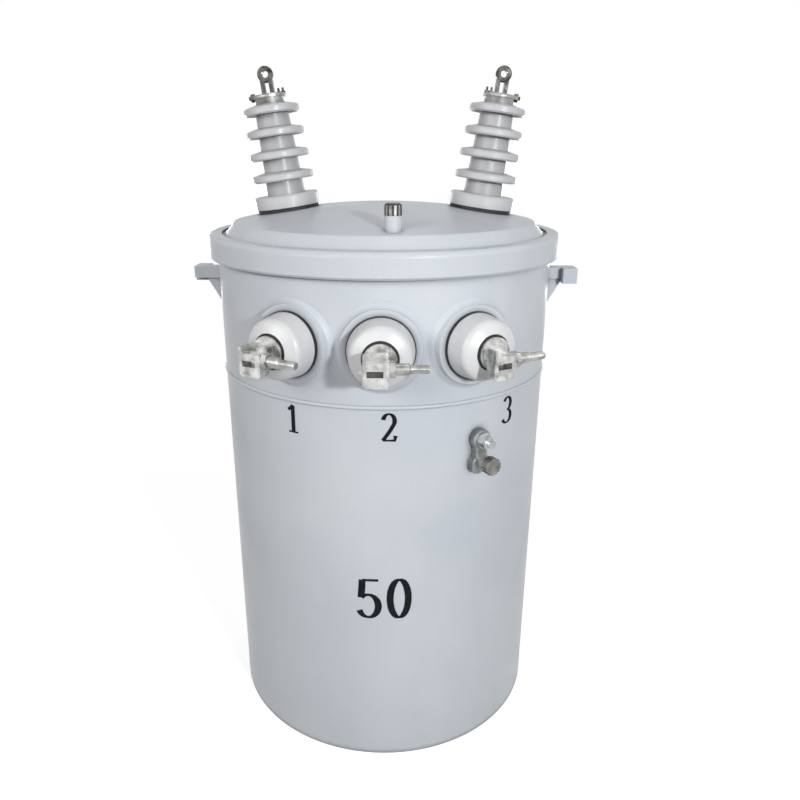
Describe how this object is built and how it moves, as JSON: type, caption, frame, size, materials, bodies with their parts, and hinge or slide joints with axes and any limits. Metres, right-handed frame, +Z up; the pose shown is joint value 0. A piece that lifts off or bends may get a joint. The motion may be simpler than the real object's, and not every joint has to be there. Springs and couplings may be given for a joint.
{
  "type": "pole-type distribution transformer",
  "caption": "Round steel transformer tank with a domed clamped cover, tall porcelain bushings on top, short clamp-terminal bushings in front and pole hanger brackets behind.",
  "frame": {"origin": "on the floor under the middle of the tank", "axes": "+Z up the tank, -Y toward the low-voltage bushings, +X to their right"},
  "size_m": [0.542, 0.58, 0.9195],
  "materials": {
    "tank_paint": "semi-gloss light grey enamel",
    "porcelain": "light grey glaze",
    "black_rubber": "matte black",
    "tinned_metal": "tin-plated, slightly dull",
    "zinc_steel": "zinc-plated",
    "dark_metal": "dark oxidised metal",
    "core_mass": "hidden inside the tank"
  },
  "bodies": {
    "root": {"band_bolt": "zinc_steel", "band_lugs": "tank_paint", "clamp_band": "tank_paint", "core_and_oil": "core_mass", "cover": "tank_paint", "cover_gasket": "black_rubber", "ground_bolt": "zinc_steel", "ground_connector": "tinned_metal", "ground_screw": "dark_metal", "hv_bushing_left": "porcelain", "hv_bushing_right": "porcelain", "hv_cap_left": "tinned_metal", "hv_cap_right": "tinned_metal", "hv_gasket_left": "black_rubber", "hv_gasket_right": "black_rubber", "hv_terminal_left": "tinned_metal", "hv_terminal_right": "tinned_metal", "lifting_lug_left": "tank_paint", "lifting_lug_right": "tank_paint", "lower_hanger_bracket": "tank_paint", "lv_bushing_left": "porcelain", "lv_bushing_middle": "porcelain", "lv_bushing_right": "porcelain", "lv_clamp_bolt_left": "tinned_metal", "lv_clamp_bolt_middle": "tinned_metal", "lv_clamp_bolt_right": "tinned_metal", "lv_collar_left": "tank_paint", "lv_collar_middle": "tank_paint", "lv_collar_right": "tank_paint", "lv_gasket_left": "black_rubber", "lv_gasket_middle": "black_rubber", "lv_gasket_right": "black_rubber", "lv_seal_left": "black_rubber", "lv_seal_middle": "black_rubber", "lv_seal_right": "black_rubber", "lv_terminal_left": "tinned_metal", "lv_terminal_middle": "tinned_metal", "lv_terminal_right": "tinned_metal", "relief_boss": "tank_paint", "relief_plug": "dark_metal", "tank_bottom": "tank_paint", "tank_lower_course": "tank_paint", "tank_rim": "tank_paint", "tank_upper_course": "tank_paint", "upper_hanger_bracket": "tank_paint"}
  },
  "joints": []
}
